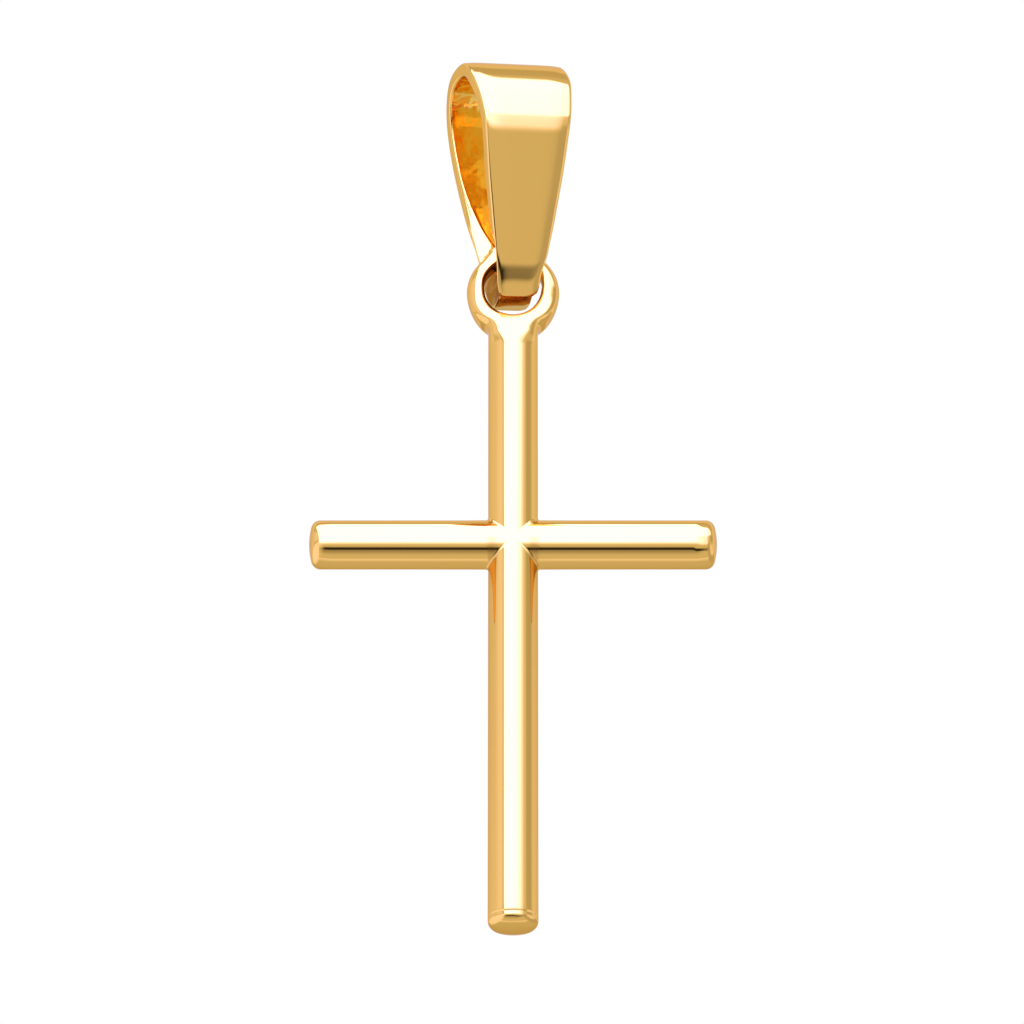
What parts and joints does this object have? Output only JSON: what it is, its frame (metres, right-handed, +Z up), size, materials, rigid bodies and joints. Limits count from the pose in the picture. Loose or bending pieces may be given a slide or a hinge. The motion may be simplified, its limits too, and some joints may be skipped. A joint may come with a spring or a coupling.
{
  "type": "cross pendant",
  "caption": "Slim cross of round polished bars with domed ends, hung by its eye from a tapered folded bail that a neck chain runs through.",
  "frame": {"origin": "the chain's seat: the middle of the bail's inner face at its crown, where the bail rests on a chain", "axes": "+Z up, against the hang of the cross; +X along the arms to the viewer's right; +Y to the back"},
  "size_m": [0.015, 0.0054, 0.0335],
  "materials": {
    "bail_gold": "polished yellow gold, with the band's inner face left lightly rough from casting",
    "cross_gold": "polished yellow gold"
  },
  "bodies": {
    "bail": {"bail": "bail_gold"},
    "cross": {"cross": "cross_gold"}
  },
  "joints": [
    {"name": "cross_swing", "type": "hinge", "parent": "bail", "child": "cross", "pos_m": [-0.00014, 0.00235, -0.00629], "axis": [1, 0, 0], "range_deg": [-15, 25]}
  ]
}
